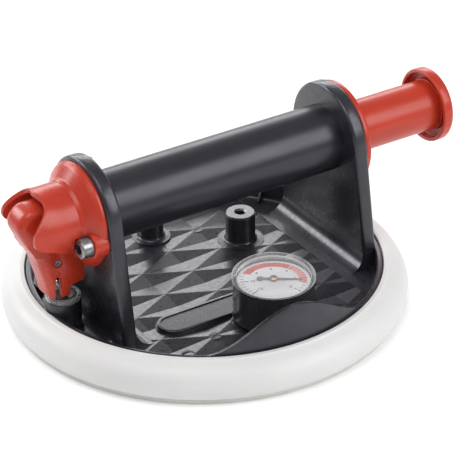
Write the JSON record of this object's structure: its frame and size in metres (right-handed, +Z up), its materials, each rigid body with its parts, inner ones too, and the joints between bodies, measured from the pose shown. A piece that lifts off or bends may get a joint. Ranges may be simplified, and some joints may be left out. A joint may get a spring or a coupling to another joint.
{
  "type": "vacuum suction cup",
  "caption": "Round vacuum suction cup with a seal ring, a handle tube that is the hand pump, a spring-back plunger, a release lever and a vacuum gauge.",
  "frame": {"origin": "centre of the seal's contact plane, on the cup's axis", "axes": "+Z up through the cup, +X along the handle towards the plunger"},
  "size_m": [0.2455, 0.204, 0.0968],
  "materials": {
    "black_paint": "satin black powder paint with a fine orange-peel texture",
    "seal_rubber": "satin off-white moulded rubber",
    "lip_rubber": "soft off-white foam rubber",
    "black_plastic": "satin black moulded plastic",
    "gloss_black": "glossy black moulded plastic",
    "red_plastic": "satin red-orange moulded plastic",
    "steel": "machined steel",
    "dark_steel": "blackened alloy steel",
    "brass": "turned brass",
    "black_rubber": "black seal rubber",
    "dial_white": "white printed dial",
    "dial_red": "red printed band",
    "clear_plastic": "clear polished plastic",
    "felt": "filter felt",
    "needle_black": "thin dark painted metal"
  },
  "bodies": {
    "body": {"base_casting": "black_paint", "seal_ring": "seal_rubber", "seal_lip": "lip_rubber", "threaded_inserts": "steel", "barrel_pins": "black_paint", "pump_barrel": "black_plastic", "return_spring": "steel", "pump_collar": "red_plastic", "collar_wiper": "black_rubber", "collar_screws": "dark_steel", "end_cover": "red_plastic", "cover_oring": "black_rubber", "cover_screws": "dark_steel", "lever_pin": "steel", "lever_spring": "steel", "valve_cap": "gloss_black", "valve_ring": "clear_plastic", "valve_spring": "steel", "gauge_case": "gloss_black", "gauge_seal": "black_rubber", "gauge_stem": "brass", "movement_plate": "brass", "bourdon_tube": "brass", "gauge_dial": "dial_white", "gauge_scale": "dial_red", "gauge_cover": "clear_plastic", "check_seat": "brass", "check_spring": "steel", "intake_filter": "felt"},
    "plunger": {"plunger_tube": "red_plastic", "plunger_knob": "red_plastic", "plunger_plug": "black_plastic", "piston": "black_plastic", "piston_cup": "black_rubber", "piston_screw": "dark_steel"},
    "lever": {"release_lever": "red_plastic"},
    "valve": {"valve_stem": "dark_steel", "valve_seal": "black_rubber"},
    "needle": {"gauge_needle": "needle_black", "gauge_hub": "brass", "gauge_spindle": "steel"},
    "ball": {"check_ball": "steel"}
  },
  "joints": [
    {"name": "pump_slide", "type": "slide", "parent": "body", "child": "plunger", "axis": [1, 0, 0], "range_m": [-0.046, 0], "stiffness_N_per_m": 400, "springref_m": 0.02, "deforming": ["return_spring"]},
    {"name": "lever_pivot", "type": "hinge", "parent": "body", "child": "lever", "pos_m": [-0.0865, 0, 0.05], "axis": [0, 1, 0], "range_deg": [0, 15], "stiffness_Nm_per_rad": 0.2, "springref_deg": -11.46, "deforming": ["lever_spring"]},
    {"name": "valve_slide", "type": "slide", "parent": "body", "child": "valve", "axis": [0, 0, -1], "range_m": [0, 0.0013], "deforming": ["valve_spring"]},
    {"name": "needle_spin", "type": "hinge", "parent": "body", "child": "needle", "pos_m": [0.0093, -0.0489, 0.03], "axis": [0, 0, 1], "range_deg": [0, 270]},
    {"name": "ball_lift", "type": "slide", "parent": "body", "child": "ball", "axis": [0, 0, 1], "range_m": [0, 0.0009], "stiffness_N_per_m": 60, "springref_m": -0.002, "deforming": ["check_spring"]}
  ],
  "couplings": [
    {"joint": "valve_slide", "follows": "lever_pivot", "m_per_rad": 0.0048}
  ]
}
